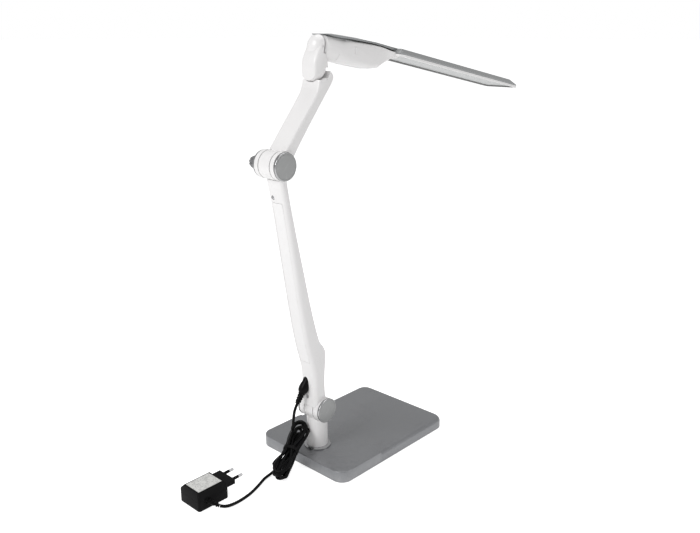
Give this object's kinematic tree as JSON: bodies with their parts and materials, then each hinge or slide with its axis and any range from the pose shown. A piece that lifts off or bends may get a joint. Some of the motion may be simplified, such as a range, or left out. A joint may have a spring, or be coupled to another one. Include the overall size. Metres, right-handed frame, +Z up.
{
  "type": "articulated desk lamp",
  "caption": "LED desk lamp with a flat bar head on a hinged two-part arm, a weighted rectangular base and a plug-in mains adapter on a thin tied-up lead.",
  "frame": {"origin": "centre of the underside of the base pad", "axes": "+Z up, +X forward, the way the head points over the base, +Y to the left seen from behind the lamp"},
  "size_m": [0.6173, 0.16, 0.5605],
  "materials": {
    "grey_paint": "satin grey paint over a moulded shell",
    "ballast_steel": "plain cast weight",
    "pad_rubber": "soft matt sheet",
    "collar_silver": "turned ring",
    "arm_white": "semi-gloss moulded white",
    "button_white": "semi-gloss moulded white",
    "disc_grey": "satin dark grey",
    "washer_dark": "plain friction washer",
    "fastener_steel": "zinc plated",
    "cover_silver": "silver lacquer",
    "diffuser_milky": "milky, lit from behind",
    "circuit_board": "printed board",
    "switch_black": "moulded black",
    "lead_black": "soft PVC, slightly shiny",
    "tie_black": "plastic twist tie",
    "case_black": "fine spark texture",
    "label_silver": "blank printed label",
    "pin_nickel": "nickel plated"
  },
  "bodies": {
    "base": {"base_shell": "grey_paint", "base_ballast": "ballast_steel", "base_pad": "pad_rubber", "post_collar": "collar_silver", "swivel_washer": "washer_dark", "lead_riser": "lead_black", "lead_hank": "lead_black", "lead_tie": "tie_black", "lead_run": "lead_black", "adapter_base": "case_black", "adapter_lid": "case_black", "adapter_label": "label_silver", "adapter_nose": "case_black", "adapter_pin_right": "pin_nickel", "adapter_pin_sleeve_right": "case_black", "adapter_pin_left": "pin_nickel", "adapter_pin_sleeve_left": "case_black", "adapter_gland": "lead_black", "adapter_board": "circuit_board", "adapter_transformer": "switch_black"},
    "post": {"post": "arm_white", "swivel_nut": "fastener_steel", "hinge_washer_right": "washer_dark", "hinge_washer_left": "washer_dark", "lead_top": "lead_black"},
    "lower_arm": {"lower_arm": "arm_white", "lower_arm_cover": "arm_white", "cover_screw_top": "fastener_steel", "cover_screw_bottom": "fastener_steel", "hinge_bolt": "fastener_steel", "hinge_cap_right": "disc_grey", "hinge_cap_left": "disc_grey", "elbow_bolt": "fastener_steel", "elbow_cap_right": "disc_grey", "elbow_ring_left": "disc_grey", "dc_socket": "switch_black", "dc_plug": "lead_black", "plug_strain_relief": "lead_black"},
    "knob": {"elbow_knob": "disc_grey"},
    "upper_arm": {"upper_arm": "arm_white", "upper_arm_cover": "arm_white", "elbow_washer_right": "washer_dark", "elbow_washer_left": "washer_dark", "tilt_washer_right": "washer_dark", "tilt_washer_left": "washer_dark"},
    "yoke": {"tilt_yoke": "arm_white", "tilt_pin": "fastener_steel", "roll_washer": "washer_dark"},
    "head": {"roll_spindle": "fastener_steel", "roll_nut": "fastener_steel", "head_housing": "arm_white", "head_cover": "cover_silver", "head_diffuser": "diffuser_milky", "led_board": "circuit_board", "driver_board": "circuit_board", "switch_body": "switch_black"},
    "button": {"power_button": "button_white"}
  },
  "joints": [
    {"name": "base_swivel", "type": "hinge", "parent": "base", "child": "post", "pos_m": [-0.076, 0, 0.0163], "axis": [0, 0, 1], "range_deg": [-60, 60], "deforming": ["lead_riser"]},
    {"name": "base_tilt", "type": "hinge", "parent": "post", "child": "lower_arm", "pos_m": [-0.076, 0, 0.074], "axis": [0, 1, 0], "range_deg": [-20, 45], "deforming": ["lead_top"]},
    {"name": "elbow_knob_turn", "type": "hinge", "parent": "lower_arm", "child": "knob", "pos_m": [-0.1403, 0.031, 0.412], "axis": [0, 1, 0], "range_deg": [-30, 180]},
    {"name": "elbow", "type": "hinge", "parent": "lower_arm", "child": "upper_arm", "pos_m": [-0.1403, 0, 0.412], "axis": [0, -1, 0], "range_deg": [-55, 75]},
    {"name": "head_tilt", "type": "hinge", "parent": "upper_arm", "child": "yoke", "pos_m": [-0.076, 0, 0.5215], "axis": [0, 1, 0], "range_deg": [-10, 38]},
    {"name": "head_roll", "type": "hinge", "parent": "yoke", "child": "head", "pos_m": [-0.037, 0, 0.541], "axis": [0.9829, 0, -0.1839], "range_deg": [-90, 90]},
    {"name": "power_button", "type": "slide", "parent": "head", "child": "button", "axis": [0, 1, 0], "range_m": [0, 0.0008], "stiffness_N_per_m": 400}
  ]
}
